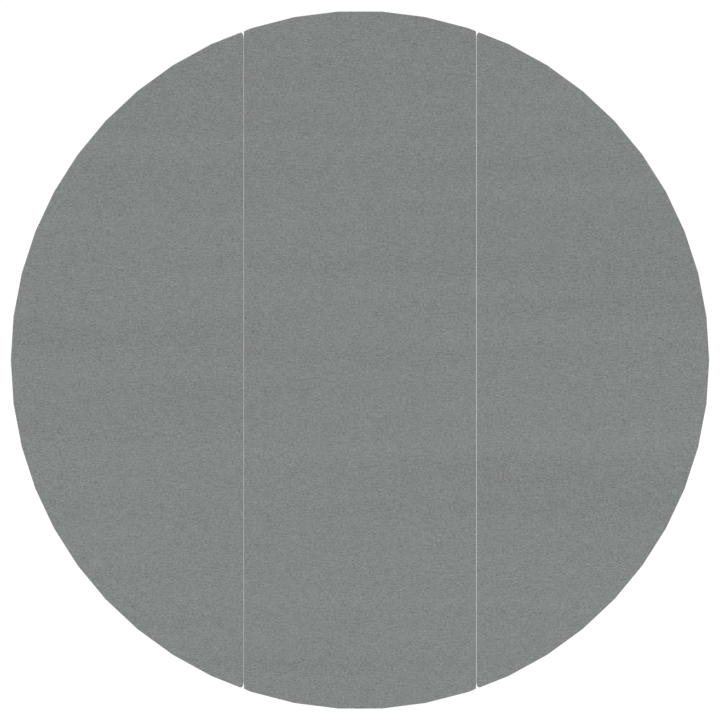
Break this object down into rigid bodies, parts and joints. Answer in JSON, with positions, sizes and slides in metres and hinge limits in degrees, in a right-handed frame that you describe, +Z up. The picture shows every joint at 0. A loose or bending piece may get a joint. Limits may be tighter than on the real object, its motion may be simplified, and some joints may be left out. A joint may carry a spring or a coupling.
{
  "type": "collapsible backdrop panel",
  "caption": "Round grey cloth backdrop in three equal panels that fold on hinged seams, stretched over tube frames, with a stud socket and a hanging ring behind.",
  "frame": {"origin": "centre of the stand socket's mouth, at the bottom of the centre panel, midway through the frame's depth", "axes": "+Z up the disc, +X to the right seen from the front, -Y out of the cloth's front face"},
  "size_m": [1.5, 0.0536, 1.4976],
  "materials": {
    "cloth": "matte mid-grey heathered weave",
    "seam_bead": "matte light grey",
    "frame_tube": "satin anodised",
    "moulded_nylon": "fine moulded grain",
    "fastener_steel": "zinc plated",
    "rivet_plastic": "matte moulded",
    "magnet": "nickel plated",
    "hinge_steel": "brushed, zinc plated",
    "socket_metal": "turned",
    "bright_steel": "plated wire",
    "knob_plastic": "fine moulded grain"
  },
  "bodies": {
    "centre_panel": {"centre_face_cloth": "cloth", "centre_edge_wrap": "cloth", "left_seam_bead": "seam_bead", "right_seam_bead": "seam_bead", "centre_left_rail": "frame_tube", "centre_right_rail": "frame_tube", "centre_top_bow": "frame_tube", "centre_bottom_bow": "frame_tube", "centre_corner_joints": "moulded_nylon", "centre_corner_screws": "fastener_steel", "centre_cross_bars": "frame_tube", "centre_bar_feet": "moulded_nylon", "centre_foot_screws": "fastener_steel", "centre_hem_rivets": "rivet_plastic", "centre_magnets": "magnet", "left_hinge_centre_leaves": "hinge_steel", "left_hinge_pins": "fastener_steel", "left_hinge_centre_screws": "fastener_steel", "right_hinge_centre_leaves": "hinge_steel", "right_hinge_pins": "fastener_steel", "right_hinge_centre_screws": "fastener_steel", "right_riser_centre_blocks": "moulded_nylon", "stand_socket": "socket_metal", "socket_block": "moulded_nylon", "socket_block_screws": "fastener_steel", "ring_tab": "hinge_steel", "ring_tab_screws": "fastener_steel"},
    "left_wing": {"left_face_cloth": "cloth", "left_edge_wrap": "cloth", "left_seam_rail": "frame_tube", "left_bow": "frame_tube", "left_corner_joints": "moulded_nylon", "left_corner_screws": "fastener_steel", "left_cross_bars": "frame_tube", "left_bar_feet": "moulded_nylon", "left_foot_screws": "fastener_steel", "left_hem_rivets": "rivet_plastic", "left_magnets": "magnet", "left_hinge_wing_leaves": "hinge_steel", "left_hinge_wing_screws": "fastener_steel"},
    "right_wing": {"right_face_cloth": "cloth", "right_edge_wrap": "cloth", "right_seam_rail": "frame_tube", "right_bow": "frame_tube", "right_corner_joints": "moulded_nylon", "right_corner_screws": "fastener_steel", "right_cross_bars": "frame_tube", "right_bar_feet": "moulded_nylon", "right_foot_screws": "fastener_steel", "right_hem_rivets": "rivet_plastic", "right_magnets": "magnet", "right_hinge_wing_leaves": "hinge_steel", "right_hinge_wing_screws": "fastener_steel", "right_riser_wing_blocks": "moulded_nylon"},
    "clamp": {"clamp_screw": "bright_steel", "clamp_knob": "knob_plastic"},
    "ring": {"hanging_ring": "bright_steel"}
  },
  "joints": [
    {"name": "left_fold", "type": "hinge", "parent": "centre_panel", "child": "left_wing", "pos_m": [-0.25, 0.01775, 0.74912], "axis": [0, 0, -1], "range_deg": [0, 180]},
    {"name": "right_fold", "type": "hinge", "parent": "centre_panel", "child": "right_wing", "pos_m": [0.25, 0.03595, 0.74912], "axis": [0, 0, 1], "range_deg": [0, 180]},
    {"name": "clamp_turn", "type": "hinge", "parent": "centre_panel", "child": "clamp", "pos_m": [0, 0.03, 0.046], "axis": [0, 1, 0], "continuous": true},
    {"name": "ring_swing", "type": "hinge", "parent": "centre_panel", "child": "ring", "pos_m": [0, 0.01725, 1.47894], "axis": [1, 0, 0], "range_deg": [0, 180]}
  ]
}
